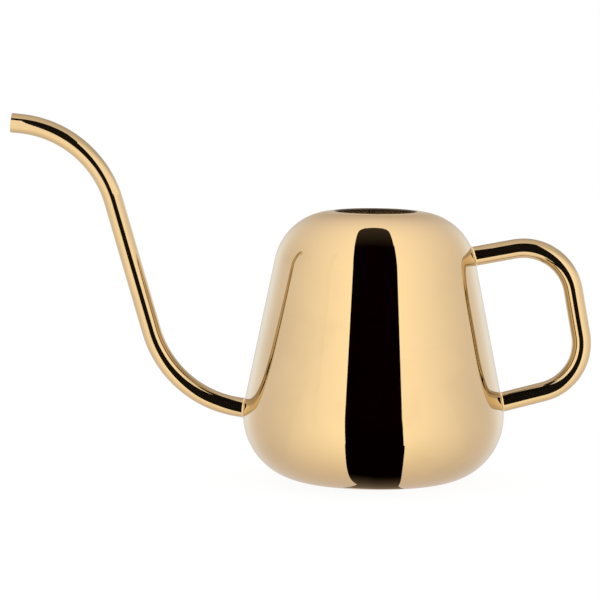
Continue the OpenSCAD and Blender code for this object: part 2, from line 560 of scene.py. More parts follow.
@dataclass(frozen=True)
class TubePath:
    """Centre line of a bent tube in the plane Y = 0, with X to the right and Z up.

    Before its start and past its end it runs straight on.

    Attributes:
        start: (x, z) of its start.
        heading: direction at its start, as an angle from +X up towards +Z.
        legs: its stretches, in order.
    """

    start: tuple[float, float]
    heading: float
    legs: tuple[Leg, ...]

    @property
    def length(self) -> float:
        """Length of the straights and of the bends, each bend being angle times radius."""
        return sum(leg.straight + abs(np.radians(leg.turn)) * leg.bend_r for leg in self.legs)

    def at(self, along: Array) -> tuple[Array, Array]:
        """Places and directions on the path, as complex numbers x + iz.

        A straight from p in direction d reaches p + s d after a distance s. A bend round c reaches
        c + (p - c) exp(i s / r) with its direction d exp(i s / r), and turns the other way where
        the bend goes to the right.

        Args:
            along: distances from the path's start.

        Returns:
            The places and the unit directions.
        """
        place, ahead, begun = complex(*self.start), np.exp(1j * np.radians(self.heading)), 0.0
        places, directions = place + along * ahead, np.full(np.shape(along), ahead)
        for leg in self.legs:
            past = along >= begun
            places = np.where(past, place + (along - begun) * ahead, places)
            directions = np.where(past, ahead, directions)
            place, begun = place + leg.straight * ahead, begun + leg.straight
            if leg.turn:
                way = np.sign(leg.turn)
                centre = place + 1j * way * leg.bend_r * ahead
                past = along >= begun
                swung = np.exp(1j * way * (along - begun) / leg.bend_r)
                places = np.where(past, centre + (place - centre) * swung, places)
                directions = np.where(past, ahead * swung, directions)
                swing = np.exp(1j * np.radians(leg.turn))
                place, ahead = centre + (place - centre) * swing, ahead * swing
                begun += abs(np.radians(leg.turn)) * leg.bend_r
        past = along >= begun
        return (np.where(past, place + (along - begun) * ahead, places),
                np.where(past, ahead, directions))

    def stations(self, straight_step: float = 3 * MM, bend_step: float = 1.5) -> Array:
        """Distances at which the tube gets a ring, closer together on its bends.

        Args:
            straight_step: widest distance between two rings on a straight.
            bend_step: widest angle between two rings on a bend.

        Returns:
            The distances along the path.
        """
        rings, begun = [np.zeros(1)], 0.0
        for leg in self.legs:
            bend = abs(np.radians(leg.turn)) * leg.bend_r
            if leg.straight:
                rings.append(steps_between(begun, begun + leg.straight, straight_step)[1:])
            if leg.turn:
                bent = begun + leg.straight
                step = np.radians(bend_step) * leg.bend_r
                rings.append(steps_between(bent, bent + bend, step)[1:])
            begun += leg.straight + bend
        return np.concatenate(rings)

    def skin(self, along: Array, angle: Array, radius: Array | float) -> tuple[Array, Array, Array]:
        """Points round the path: at angle u they stand radius (cos u left + sin u Y) from it.

        Args:
            along: distances along the path.
            angle: angles round the path in radians, from its left side towards +Y.
            radius: distances from the path.

        Returns:
            The points, the unit directions in which they lie from the path, and the path's own.
        """
        places, ahead = self.at(along)
        left = 1j * ahead
        away = np.stack([left.real * np.cos(angle), np.sin(angle) + 0 * left.real,
                         left.imag * np.cos(angle)], axis=-1)
        spine, forward = (np.stack([line.real, 0 * line.real, line.imag], axis=-1)
                          for line in (places, ahead))
        return spine + np.asarray(radius)[..., None] * away, away, forward


@dataclass(frozen=True)
class Foot:
    """Where a tube stands on the body.

    Attributes:
        path: the tube's centre line.
        at: distance along the path at which the centre line crosses the body's surface, or near it.
        way: 1 where the path leaves the body there, -1 where it enters it.
        reach: distance to either side of at within which the whole tube crosses the surface.
    """

    path: TubePath
    at: float
    way: int
    reach: float = 5 * MM

    def crossing(self, body: BodyShape, angle: Array, radius: float, inset: float = 0.0) -> Array:
        """Where lines that run beside the path cross the body's surface.

        Args:
            body: the body.
            angle: the lines' angles round the path in radians.
            radius: their distance from the path.
            inset: distance of the surface from the outside of the sheet.

        Returns:
            The distances along the path.
        """
        within = np.full(angle.shape, self.at - self.way * self.reach)
        beyond = np.full(angle.shape, self.at + self.way * self.reach)
        return meets_body(lambda along: self.path.skin(along, angle, radius)[0], within, beyond,
                          body, inset)


@dataclass(frozen=True)
class Fillet:
    """A dressed weld round a tube's foot: a hollow band between the body and the tube.

    Attributes:
        width: how far it reaches over the body and along the tube.
        bury: how far its hidden corner lies inside the body's sheet and the tube's wall.
        fullness: how far its face is filled out, from 0 for a plain hollow to 1 for a flat slope.
        waver: share by which the width varies round the foot.
        waves: how often round the foot each of the width's two waves comes.
        rows: rings of points across the band.
    """

    width: float = 0.9 * MM
    bury: float = 0.3 * MM
    fullness: float = 0.35
    waver: float = 0.05
    waves: tuple[int, int] = (3, 7)
    rows: int = 9

    def patches(self, body: BodyShape, foot: Foot, tube_r: float) -> list[Patch]:
        """The band and its two hidden backs.

        With B on the body, T on the tube and C in the corner between them, the face is the curve
        (1 - t)^2 B + 2 t (1 - t) C' + t^2 T, in which C' lies between C and the middle of B and T.

        Args:
            body: the body.
            foot: where the tube stands on it.
            tube_r: the tube's outside radius.

        Returns:
            The surface, in pieces.
        """
        angle = full_turn(TUBE_STEPS)
        slow, quick = self.waves
        wave = (np.sin(slow * angle) + np.sin(quick * angle + 2)) / 2
        width = self.width * (1 + self.waver * wave)
        out = foot.way
        rim = foot.crossing(body, angle, tube_r + width)
        corner = foot.crossing(body, angle, tube_r)
        on_body = foot.path.skin(rim, angle, tube_r + width)[0]
        in_corner = foot.path.skin(corner, angle, tube_r)[0]
        on_tube = foot.path.skin(corner + out * width, angle, tube_r)[0]
        hidden = foot.path.skin(corner - out * self.bury, angle, tube_r - self.bury)[0]

        pull = in_corner + self.fullness * ((on_body + on_tube) / 2 - in_corner)
        share = np.linspace(0, 1, self.rows)[:, None, None]
        face = (1 - share)**2 * on_body + 2 * share * (1 - share) * pull + share**2 * on_tube
        backs = [np.stack([on_tube, hidden]), np.stack([hidden, on_body])]
        centre = (on_body + on_tube + hidden) / 3
        return [Patch(points, grid_normals(points, centre if back else hidden), points, float(back))
                for points, back in [(face, False), (backs[0], True), (backs[1], True)]]


@dataclass(frozen=True)
class CutEnd:
    """The cut end of a tube: a flat ring whose outer and inner corners are rounded off.

    Attributes:
        corner_r: radius of both corners.
        steps: rings of points on each corner.
    """

    corner_r: float = 0.3 * MM
    steps: int = 5

    def rings(self, end: float, outer_r: float, bore_r: float) -> tuple[Array, Array, Array]:
        """Rings from the tube's outside over its end into the bore.

        At angle a of a corner the ring stands at end - c + c sin a along the path, and at
        outer_r - c + c cos a from it outside or bore_r + c + c cos a inside, with c the corner's
        radius; a is also how far the normal leans forward.

        Args:
            end: length of the path.
            outer_r: the tube's outside radius.
            bore_r: the tube's inside radius.

        Returns:
            Distances along the path, distances from it, and leans of the normal in radians.
        """
        quarter = np.linspace(0, np.pi / 2, self.steps)
        lean = np.concatenate([quarter, np.pi / 2 + quarter])
        middle_r = np.repeat([outer_r - self.corner_r, bore_r + self.corner_r], self.steps)
        return (end - self.corner_r + self.corner_r * np.sin(lean),
                middle_r + self.corner_r * np.cos(lean), lean)


@dataclass(frozen=True)
class Tube:
    """A bent tube that stands on the body with one end or both.

    Attributes:
        path: its centre line, from the body outwards.
        outer_r: its outside radius.
        bore_r: its inside radius.
        ease: length over which the slanted cut at a foot runs out into square rings.
    """

    path: TubePath
    outer_r: float
    bore_r: float
    ease: float = 12 * MM

    @property
    def first_foot(self) -> Foot:
        """The foot at the path's start."""
        return Foot(self.path, 0.0, 1)

    @property
    def last_foot(self) -> Foot:
        """The foot at the path's end, on a tube that goes back to the body."""
        return Foot(self.path, self.path.length, -1)

    def rings(self, body: BodyShape, angle: Array, stations: Array, radius: float,
              both_ends: bool) -> Array:
        """Distances along the path of the points on each ring, (rings, angles).

        A ring at distance s moves by the slanted cut's own distance times 1 - s / ease, and so
        lies on the body's surface at the foot and square to the path past the ease.

        Args:
            body: the body.
            angle: angles round the path in radians.
            stations: distances of the square rings.
            radius: distance of the surface from the path.
            both_ends: whether the last end stands on the body too.

        Returns:
            The distances.
        """
        length = self.path.length
        from_start = np.clip(1 - stations / self.ease, 0, 1)[:, None]
        along = stations[:, None] + from_start * self.first_foot.crossing(body, angle, radius)
        if both_ends:
            from_end = np.clip(1 - (length - stations) / self.ease, 0, 1)[:, None]
            along = along + from_end * (self.last_foot.crossing(body, angle, radius) - length)
        return along

    def surface(self, along: Array, angle: Array, radius: Array | float, lean: Array | float) -> Patch:
        """A patch of the tube.

        A normal that leans by a is cos a times the way straight out from the path plus sin a times
        the path's own, so it faces into the bore at 180 degrees. The attribute "inside" grows
        evenly from 0 at a lean of 90 degrees to 1 at 180, so the inner corner of a cut end passes
        through the lip's painted shade at 135.

        Args:
            along: distances along the path.
            angle: angles round the path in radians.
            radius: distances from the path.
            lean: leans of the normals in radians.

        Returns:
            The patch.
        """
        points, away, forward = self.path.skin(along, angle, radius)
        lean = np.asarray(lean)
        normals = np.cos(lean)[..., None] * away + np.sin(lean)[..., None] * forward
        flat = np.broadcast_to(radius, along.shape)
        grain = np.stack([flat * np.cos(angle), flat * np.sin(angle), along], axis=-1)
        # Halfway round the inner corner of a cut end, this gives the lip's painted shade.
        inside = np.broadcast_to(np.clip(2 * lean / np.pi - 1, 0, 1), along.shape)
        return Patch(points, normals, grain, inside)

    def foot_ring(self, body: BodyShape, foot: Foot) -> Patch:
        """The cut face that lies on the body, between the outside and the bore.

        Args:
            body: the body.
            foot: the foot that the cut is at.

        Returns:
            The ring, whose normals run along the path into the body.
        """
        angle = full_turn(TUBE_STEPS)
        radius = np.array([[self.outer_r], [self.bore_r]])
        along = np.stack([foot.crossing(body, angle, r) for r in radius[:, 0]])
        return self.surface(along, angle, radius, -foot.way * np.pi / 2)

    def open_ended(self, body: BodyShape, tip: CutEnd) -> list[Patch]:
        """The whole surface of a tube with one foot: outside, cut end, bore and the cut at the foot.

        Args:
            body: the body that it stands on.
            tip: the shape of its open end.

        Returns:
            The surface, in pieces.
        """
        angle = full_turn(TUBE_STEPS)
        stations = self.path.stations()
        stations = stations[stations < self.path.length - 2 * tip.corner_r]
        outside = self.rings(body, angle, stations, self.outer_r, False)
        bore = self.rings(body, angle, stations, self.bore_r, False)[::-1]
        tip_along, tip_r, tip_lean = tip.rings(self.path.length, self.outer_r, self.bore_r)
        count = len(stations)
        along = np.concatenate([outside, tip_along[:, None] + 0 * angle, bore])
        radius = np.concatenate([np.full(count, self.outer_r), tip_r, np.full(count, self.bore_r)])
        lean = np.concatenate([np.zeros(count), tip_lean, np.full(count, np.pi)])
        return [self.surface(along, angle, radius[:, None], lean[:, None]),
                self.foot_ring(body, self.first_foot)]

    def both_feet(self, body: BodyShape) -> list[Patch]:
        """The whole surface of a tube with a foot at each end: outside, bore and two cuts.

        Args:
            body: the body that it stands on.

        Returns:
            The surface, in pieces.
        """
        angle = full_turn(TUBE_STEPS)
        stations = self.path.stations()
        sides = [(self.outer_r, 0.0), (self.bore_r, np.pi)]
        return [*(self.surface(self.rings(body, angle, stations, radius, True), angle, radius, lean)
                  for radius, lean in sides),
                self.foot_ring(body, self.first_foot), self.foot_ring(body, self.last_foot)]


class Slot(Enum):
    """The record's material slots."""

    BODY = "body_metal"
    BASE = "base_metal"
    SPOUT = "spout_metal"
    HANDLE = "handle_metal"
    WELD = "weld_metal"


def add_object(name: str, data: bpy.types.ID) -> bpy.types.Object:
    """Puts a new object in the scene.

    Args:
        name: its name.
        data: its mesh, or the camera's data.

    Returns:
        The object.
    """
    made = bpy.data.objects.new(name, data)
    bpy.context.scene.collection.objects.link(made)
    return made


def add_piece(name: str, node: str, patches: list[Patch],
              material: bpy.types.Material) -> None:
    """Puts one finished piece in the scene, in the place of a CAD node, and reports it.

    Args:
        name: the piece's name.
        node: the CAD node that it stands for.
        patches: its surface.
        material: its finish.
    """
    mesh = closed_mesh(name, patches)
    mesh.materials.append(material)
    piece = add_object(name, mesh)
    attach(piece, BODY)
    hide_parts(node)
    low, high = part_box(node)
    places = np.concatenate([patch.points.reshape(-1, 3) for patch in patches])
    apart = max(np.abs(places.min(axis=0) - low).max(), np.abs(places.max(axis=0) - high).max())
    triangles = len(mesh.loops) - 2 * len(mesh.polygons)
    log.info("%s: %d triangles, box within %.2f mm of %s", name, triangles, apart / MM, node)
    loose = open_edges(mesh)
    if loose:
        log.warning("%s isn't closed: %d edges have other than two faces", name, loose)


@dataclass(frozen=True)
class SheetBody:
    """The body: a spun shell with a hole for the spout, a pressed pan, and the weld between them.

    Attributes:
        shape: the body's outline.
        spout_foot: where the spout stands.
        hole_r: radius of the hole under the spout.
        collar: half the width of the window round the hole that is meshed in rings about it.
        collar_rows: rings between the window's edge and the hole.
        ring_w: width of the flat ring that the can stands on.
        base_rise: height of the raised middle of the base.
        step_r: radius inside the two folds of the step up to the raised middle.
        bead_r: half the width of the weld over the seam.
        bead_rise: its height, as a share of that.
        bead_ripple: how far a ripple changes the height, as the same share.
        bead_slant: how far the ripples bow forward at the crown, in radians of a ripple.
        bead_waves: ripples round the weld.
        wave_steps: points along each ripple.
        bead_rows: points across the weld.
    """

    shape: BodyShape
    spout_foot: Foot
    hole_r: float = 4.6 * MM
    collar: float = 8 * MM
    collar_rows: int = 6
    ring_w: float = 6.5 * MM
    base_rise: float = 1.5 * MM
    step_r: float = 0.6 * MM
    bead_r: float = 1.1 * MM
    bead_rise: float = 0.8
    bead_ripple: float = 0.07
    bead_slant: float = 2.5
    bead_waves: int = 170
    wave_steps: int = 6
    bead_rows: int = 13

    def window(self, rise: Array, angle: Array) -> tuple[Array, Array, Array]:
        """The window that a turned grid leaves open round the hole under the spout.

        Args:
            rise: height of each row of the grid above the hole's centre.
            angle: angle of each column in radians.

        Returns:
            A mask of the cells that stay, and the row and the column of each point on the window's
            edge, once round it.
        """
        rows = np.flatnonzero(np.abs(rise) < self.collar)
        columns = np.flatnonzero(np.abs(angle - np.pi) * self.shape.widest_r < self.collar)
        low, high, left, right = rows[0], rows[-1], columns[0], columns[-1]
        keep = np.ones((len(rise) - 1, len(angle) - 1), bool)
        keep[low:high, left:right] = False
        up, over = np.arange(low, high), np.arange(left, right)
        level, upright = np.ones_like(over), np.ones_like(up)
        row = np.concatenate([low * level, up, high * level, up[::-1] + 1, [low]])
        column = np.concatenate([over, right * upright, over[::-1] + 1, left * upright, [left]])
        return keep, row, column

    def drilled_wall(self, inset: float) -> tuple[list[Patch], Array]:
        """One side of the shell's sheet, from seam to hem, with the hole under the spout.

        A window of the turned grid is left open. A second grid runs from the window's edge, in
        steps of equal share of angle and height, to the line in which the hole's bore meets the
        sheet; each of its points takes its radius from the wall at its height.

        Args:
            inset: distance of this side from the outside of the sheet.

        Returns:
            The two patches, and the hole's edge.
        """
        section = self.shape.shell_wall(inset)
        angle = full_turn(TURN_STEPS)
        lift = self.shape.shell_wall().points[:, 1] - self.spout_foot.path.start[1]
        keep, row, column = self.window(lift, angle)
        wall = replace(turned(section, float(inset > 0)), keep=keep)
        window_edge = wall.points[row, column]

        aside = np.sin(angle[column] - np.pi) * self.shape.widest_r
        bearing = np.arctan2(-aside, -lift[row])
        bore = self.spout_foot.crossing(self.shape, bearing, self.hole_r, inset)
        hole_edge = self.spout_foot.path.skin(bore, bearing, self.hole_r)[0]

        share = np.linspace(0, 1, self.collar_rows)[:, None]
        hole_angle = np.arctan2(hole_edge[:, 1], hole_edge[:, 0]) % (2 * np.pi)
        turn = (1 - share) * angle[column] + share * hole_angle
        height = (1 - share) * window_edge[:, 2] + share * hole_edge[:, 2]
        radius, rise = self.shape.wall(height, inset)
        points = np.stack([radius * np.cos(turn), radius * np.sin(turn), height], axis=-1)
        points[0], points[-1] = window_edge, hole_edge
        normals = np.stack([np.cos(rise) * np.cos(turn), np.cos(rise) * np.sin(turn), np.sin(rise)], -1)
        run = np.interp(height, section.points[:, 1], section.run)
        grain = np.stack([GRAIN_R * np.cos(turn), GRAIN_R * np.sin(turn), run], axis=-1)
        collar = Patch(points, -normals if inset else normals, grain, float(inset > 0))
        return [wall, collar], hole_edge

    def rim(self) -> Patch:
        """The hem, whose side towards the mouth is the inside's lip, painted in shade.

        The painted shade grows evenly from half the hem's radius outside its middle to half
        inside it.

        Returns:
            The hem.
        """
        hem = turned(self.shape.hem())
        out = np.hypot(hem.points[..., 0], hem.points[..., 1]) - self.shape.hem_c[0]
        return replace(hem, inside=SHADED * np.clip(0.5 - out / self.shape.hem_r, 0, 1))

    def shell(self) -> list[Patch]:
        """The spun shell: both sides of its sheet, the hem, the lower edge and the hole's wall.

        The wall of the hole faces the spout's axis squarely: its normals are the ways to the
        axis's root, less their parts along the axis.

        Returns:
            The surface, in pieces.
        """
        outside, outer_edge = self.drilled_wall(0.0)
        inside, inner_edge = self.drilled_wall(self.shape.sheet_t)
        hole = np.stack([outer_edge, inner_edge])
        root, _, axis = (part[0] for part in self.spout_foot.path.skin(np.zeros(1), np.zeros(1), 0.0))
        inward = root - hole
        square = inward - np.sum(inward * axis, axis=-1, keepdims=True) * axis
        return [*outside, *inside, self.rim(), turned(self.shape.seam_edge(up=False), 1.0),
                Patch(hole, unit(square), hole, 1.0)]

    def pan(self) -> list[Patch]:
        """The pressed pan: both sides of its sheet, and its upper edge.

        The step up from the ring to the raised middle slopes at 45 degrees. On the sheet's inner
        side its folds lie further out by the thickness times the tangent of half that angle.

        Returns:
            The surface, in pieces.
        """
        sheet_t, rise = self.shape.sheet_t, self.base_rise
        foot = self.shape.corner_c[0]
        ring_in = foot - self.ring_w
        inner = ring_in + sheet_t * np.tan(np.radians(45 / 2))
        tight, wide = self.step_r, self.step_r + sheet_t
        under = Section.folded([(foot, 0), (ring_in, 0), (ring_in - rise, rise), (0, rise)],
                               [wide, tight], side=1)
        over = Section.folded([(foot, sheet_t), (inner, sheet_t), (inner - rise, sheet_t + rise),
                               (0, sheet_t + rise)], [tight, wide], side=-1)
        return [turned(self.shape.lower_corner().then(under)),
                turned(self.shape.lower_corner(sheet_t).then(over), 1.0),
                turned(self.shape.seam_edge(up=True), 1.0)]

    def seam_bead(self) -> list[Patch]:
        """The weld over the seam, a ring of overlapping ripples on the inside of the wall.

        Across the bead, from t = 0 at its lower edge to 1 at its upper one, a point stands at the
        seam's height less w cos(pi t), and the depth (h + b) sin(pi t) - b inside the wall, with w
        its half width, h its height, which ripples round it, and b a third of the sheet's thickness,
        in which its feet are buried.

        Returns:
            The weld's face and its hidden back.
        """
        angle = full_turn(self.wave_steps * self.bead_waves)
        across = np.linspace(0, 1, self.bead_rows)[:, None]
        ripple = np.sin(self.bead_waves * angle + self.bead_slant * np.sin(np.pi * across))
        buried = self.shape.sheet_t / 3
        crown = self.bead_r * (self.bead_rise + self.bead_ripple * ripple)
        height = self.shape.seam_z - self.bead_r * np.cos(np.pi * across) + 0 * angle
        depth = (crown + buried) * np.sin(np.pi * across) - buried
        radius = self.shape.wall(height, self.shape.sheet_t)[0] - depth
        face = np.stack([radius * np.cos(angle), radius * np.sin(angle), height], axis=-1)
        back = face[[0, -1]]
        middle = (face[0] + face[-1]) / 2
        inward = middle - self.bead_r * unit(middle * [1, 1, 0])
        return [Patch(points, grid_normals(points, behind), points, 1.0)
                for points, behind in [(face, middle), (back, inward)]]

    def build(self, sheet: bpy.types.Material, weld: bpy.types.Material) -> None:
        """Makes the shell, the pan and the weld, and dresses them.

        Args:
            sheet: the finish of the sheet.
            weld: the finish of the weld.
        """
        add_piece("spun_shell", "body_shell", self.shell(), sheet)
        add_piece("pressed_pan", "base_pan", self.pan(), sheet)
        add_piece("seam_bead", "seam_weld", self.seam_bead(), weld)


@dataclass(frozen=True)
class TubeStock:
    """The round tube that the spout and the handle are bent from.

    Attributes:
        outer_r: outside radius of the solids.
        wall_t: thickness of its wall.
        draw: how much slimmer the tube is drawn than the solids, which keeps its bends inside them.
    """

    outer_r: float
    wall_t: float = 0.9 * MM
    draw: float = 0.06 * MM

    @classmethod
    def from_frame(cls) -> "TubeStock":
        """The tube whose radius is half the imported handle's width."""
        return cls(outer_r=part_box("handle_tube")[1].y)

    def bent(self, path: TubePath) -> Tube:
        """This tube, bent to a path."""
        return Tube(path, self.outer_r - self.draw, self.outer_r - self.wall_t)


@dataclass(frozen=True)
class Spout:
    """The long spout, bent up close to the body and down again at its tip.

    Attributes:
        body: the body that it stands on.
        stock: its tube.
        root_z: height at which its centre line leaves the body.
        rise: angle by which it rises there.
        bend_r: radius of both bends.
        lean: lean of the long straight stretch, away from upright.
        straight: length of that stretch.
        tip_rise: angle by which the tip rises.
        tip: length of the straight stretch at the tip.
        fillet: the weld round its foot.
        cut: its open end.
    """

    body: BodyShape
    stock: TubeStock
    root_z: float = 39.7 * MM
    rise: float = 5.4
    bend_r: float = 60 * MM
    lean: float = 16.6
    straight: float = 75.8 * MM
    tip_rise: float = 5.0
    tip: float = 5.1 * MM
    fillet: Fillet = Fillet()
    cut: CutEnd = CutEnd()

    @property
    def path(self) -> TubePath:
        """Centre line from the body's surface to the tip.

        The first bend takes the tube from its rise to the long stretch's lean, and the second from
        there to the tip's rise.

        Returns:
            The centre line.
        """
        root_r = float(self.body.wall(np.array(self.root_z))[0])
        legs = (Leg(0, -(90 - self.rise - self.lean), self.bend_r),
                Leg(self.straight, 90 - self.lean - self.tip_rise, self.bend_r),
                Leg(self.tip))
        return TubePath((-root_r, self.root_z), 180 - self.rise, legs)

    @property
    def foot(self) -> Foot:
        """Where it stands on the body."""
        return self.stock.bent(self.path).first_foot

    def build(self, tube: bpy.types.Material, weld: bpy.types.Material) -> None:
        """Makes the tube and the weld at its foot, and dresses them.

        Args:
            tube: the finish of the tube.
            weld: the finish of the weld.
        """
        bent = self.stock.bent(self.path)
        add_piece("spout_pipe", "spout_tube", bent.open_ended(self.body, self.cut), tube)
        add_piece("spout_fillet", "spout_weld",
                  self.fillet.patches(self.body, bent.first_foot, bent.outer_r), weld)


@dataclass(frozen=True)
class Handle:
    """The loop handle, which leaves the shoulder and comes back to the body above its lower corner.

    Attributes:
        body: the body that it stands on.
        stock: its tube.
        drop: depth of the upper leg below the mouth's rim, at the body.
        upper_rise: angle by which the upper leg rises.
        upper: length of the upper leg.
        bend_r: radius of both bends.
        grip_lean: lean of the grip, whose foot is further out than its top.
        grip: length of the grip's straight stretch.
        lower_rise: angle by which the lower leg rises from the body.
        fillet: the weld round each of its feet.
    """

    body: BodyShape
    stock: TubeStock
    drop: float = 24.6 * MM
    upper_rise: float = 11.0
    upper: float = 22.6 * MM
    bend_r: float = 28.2 * MM
    grip_lean: float = 10.6
    grip: float = 25.4 * MM
    lower_rise: float = 15.0
    fillet: Fillet = Fillet()

    @property
    def path(self) -> TubePath:
        """Centre line from the body's shoulder round to its wall.

        The lower leg is as long as the line past the second bend runs before it meets the wall,
        which it does within the body's widest radius.

        Returns:
            The centre line.
        """
        root_z = self.body.height - self.drop
        root_r = float(self.body.wall(np.array(root_z))[0])
        legs = (Leg(self.upper, -(90 + self.upper_rise - self.grip_lean), self.bend_r),
                Leg(self.grip, -(90 + self.grip_lean - self.lower_rise), self.bend_r))
        bends = TubePath((root_r, root_z), self.upper_rise, legs)
        angle, bent = np.zeros(1), np.zeros(1)
        lower = meets_body(lambda along: bends.skin(bends.length + along, angle, 0.0)[0],
                           bent + self.body.widest_r, bent, self.body)
        return TubePath(bends.start, bends.heading, (*legs, Leg(float(lower[0]))))

    def build(self, tube: bpy.types.Material, weld: bpy.types.Material) -> None:
        """Makes the tube and the welds at its feet, and dresses them.

        Args:
            tube: the finish of the tube.
            weld: the finish of the welds.
        """
        bent = self.stock.bent(self.path)
        add_piece("handle_pipe", "handle_tube", bent.both_feet(self.body), tube)
        for name, node, foot in [("handle_fillet_upper", "handle_weld_upper", bent.first_foot),
                                 ("handle_fillet_lower", "handle_weld_lower", bent.last_foot)]:
            add_piece(name, node, self.fillet.patches(self.body, foot, bent.outer_r), weld)


# Shader nodes


def put(tree: Tree, kind: str, feeds: dict | None = None, **settings: object) -> bpy.types.Node:
    """Adds a node to a tree.

    Args:
        tree: the node tree.
        kind: the node's type, without its leading "ShaderNode".
        feeds: for each input, by name or number, a value or the socket that it is linked from.
        settings: the node's own properties.

    Returns:
        The node.
    """
    node = tree.nodes.new("ShaderNode" + kind)
    for name, value in settings.items():
        setattr(node, name, value)
    for name, value in (feeds or {}).items():
        if isinstance(value, bpy.types.NodeSocket):
            tree.links.new(value, node.inputs[name])
        else:
            node.inputs[name].default_value = value
    return node


def calculate(tree: Tree, operation: str, *terms: float | Socket) -> Socket:
    """The result of a Math node on up to three numbers or sockets."""
    return put(tree, "Math", dict(enumerate(terms)), operation=operation).outputs[0]


def vary(tree: Tree, share: Socket, low: float | Socket, high: float | Socket) -> Socket:
    """A number that goes from low to high as share goes from 0 to 1."""
    return put(tree, "Mix", {0: share, 2: low, 3: high}, data_type="FLOAT").outputs[0]


def ramp(tree: Tree, value: Socket, low: float, high: float, ease: str = "LINEAR") -> Socket:
    """A share that goes from 0 where the value is low to 1 where it is high."""
    return put(tree, "MapRange", {0: value, 1: low, 2: high}, interpolation_type=ease).outputs[0]


def opaque(colour: Colour, share: float = 1.0) -> tuple[float, float, float, float]:
    """A share of a colour, with the alpha of 1 that a colour socket takes after it."""
    return (*(part * share for part in colour), 1.0)


def tint(tree: Tree, share: Socket, low: tuple | Socket, high: tuple | Socket) -> Socket:
    """A colour that goes from low to high as share goes from 0 to 1."""
    return put(tree, "Mix", {0: share, 6: low, 7: high}, data_type="RGBA").outputs[2]


def emptied(owner: bpy.types.Material | bpy.types.World) -> Tree:
    """Clears a material or a world of the nodes that it came with.

    Args:
        owner: the material or the world.

    Returns:
        Its node tree.
    """
    owner.use_nodes = True
    owner.node_tree.nodes.clear()
    return owner.node_tree


def new_group(name: str, inputs: dict[str, float | None],
              outputs: list[str]) -> tuple[Tree, bpy.types.Node, bpy.types.Node]:
    """An empty shader node group.

    Args:
        name: the group's name.
        inputs: each input's name with its starting value, or None for an input that is a vector.
        outputs: names of its outputs, which are all numbers.

    Returns:
        The group, the node that brings its inputs in and the node that takes its outputs.
    """
    group = bpy.data.node_groups.new(name, "ShaderNodeTree")
    for socket, value in inputs.items():
        kind = "NodeSocketVector" if value is None else "NodeSocketFloat"
        made = group.interface.new_socket(socket, in_out="INPUT", socket_type=kind)
        if value is not None:
            made.default_value = value
    for socket in outputs:
        group.interface.new_socket(socket, in_out="OUTPUT", socket_type="NodeSocketFloat")
    return group, group.nodes.new("NodeGroupInput"), group.nodes.new("NodeGroupOutput")


class Effects:
    """Shader node groups that the finishes share, each built once."""

    def __init__(self) -> None:
        """Builds every group."""
        self.lines = self._buffing_lines()
        self.marks = self._handling_marks()
        self.ripple = self._ripple()

    @staticmethod
    def _buffing_lines() -> Tree:
        """Fine lines left by the buffing wheel: noise drawn out along one grain direction.

        The inputs Round and Along are the noise's cells per metre round the surface and along it.

        Returns:
            The group, whose output Lines goes from 0 to 1.
        """
        group, source, sink = new_group("buffing_lines", {"Grain": None, "Round": 50.0,
                                                          "Along": 2500.0}, ["Lines"])
        stretch = put(group, "CombineXYZ", {0: source.outputs["Round"], 1: source.outputs["Round"],
                                            2: source.outputs["Along"]})
        scaled = put(group, "VectorMath", {0: source.outputs["Grain"], 1: stretch.outputs[0]},
                     operation="MULTIPLY")
        noise = put(group, "TexNoise", {"Vector": scaled.outputs[0], "Scale": 1.0, "Detail": 2.0,
                                        "Roughness": 0.65})
        group.links.new(ramp(group, noise.outputs[0], 0.3, 0.7), sink.inputs["Lines"])
        return group

    @staticmethod
    def _handling_marks() -> Tree:
        """Marks of wiping and handling: soft smudges and thin wandering hairlines.

        Smudges lie where a broad noise is high. Hairlines are the thin bands in which a finer noise
        comes close to its middle value, kept only in smudges. The inputs Smudges and Hairlines are
        the two noises' cells per metre.

        Returns:
            The group, whose outputs Smudge and Hairline go from 0 to 1.
        """
        group, source, sink = new_group("handling_marks", {"Place": None, "Smudges": 30.0,
                                                           "Hairlines": 55.0}, ["Smudge", "Hairline"])
        broad = put(group, "TexNoise", {"Vector": source.outputs["Place"], "Detail": 3.0,
                                        "Scale": source.outputs["Smudges"], "Distortion": 0.6})
        smudge = ramp(group, broad.outputs[0], 0.42, 0.72, "SMOOTHSTEP")
        fine = put(group, "TexNoise", {"Vector": source.outputs["Place"], "Detail": 1.0,
                                       "Scale": source.outputs["Hairlines"], "Distortion": 1.2})
        off_middle = calculate(group, "ABSOLUTE", calculate(group, "SUBTRACT", fine.outputs[0], 0.5))
        hairline = calculate(group, "MULTIPLY", ramp(group, off_middle, 0.004, 0.0), smudge)
        group.links.new(smudge, sink.inputs["Smudge"])
        group.links.new(hairline, sink.inputs["Hairline"])
        return group

    @staticmethod
    def _ripple() -> Tree:
        """The faint unevenness of formed sheet: two soft noises added, one five times finer.

        The input Cells is the broader noise's cells per metre, and the finer one is 0.12 times as
        high.

        Returns:
            The group, whose output Height goes from 0 to 1.12.
        """
        group, source, sink = new_group("ripple", {"Place": None, "Cells": 60.0}, ["Height"])
        finer = calculate(group, "MULTIPLY", source.outputs["Cells"], 5.0)
        waves = [put(group, "TexNoise", {"Vector": source.outputs["Place"], "Scale": scale,
                                         "Detail": 0.0}).outputs[0]
                 for scale in (source.outputs["Cells"], finer)]
        total = calculate(group, "MULTIPLY_ADD", waves[1], 0.12, waves[0])
        group.links.new(total, sink.inputs["Height"])
        return group


class Buffing(Enum):
    """Which way a piece is buffed: cells per metre of the lines, round the piece and along it."""

    ROUND = (40.0, 2600.0)
    LENGTHWISE = (1700.0, 25.0)
    DABBED = (500.0, 500.0)


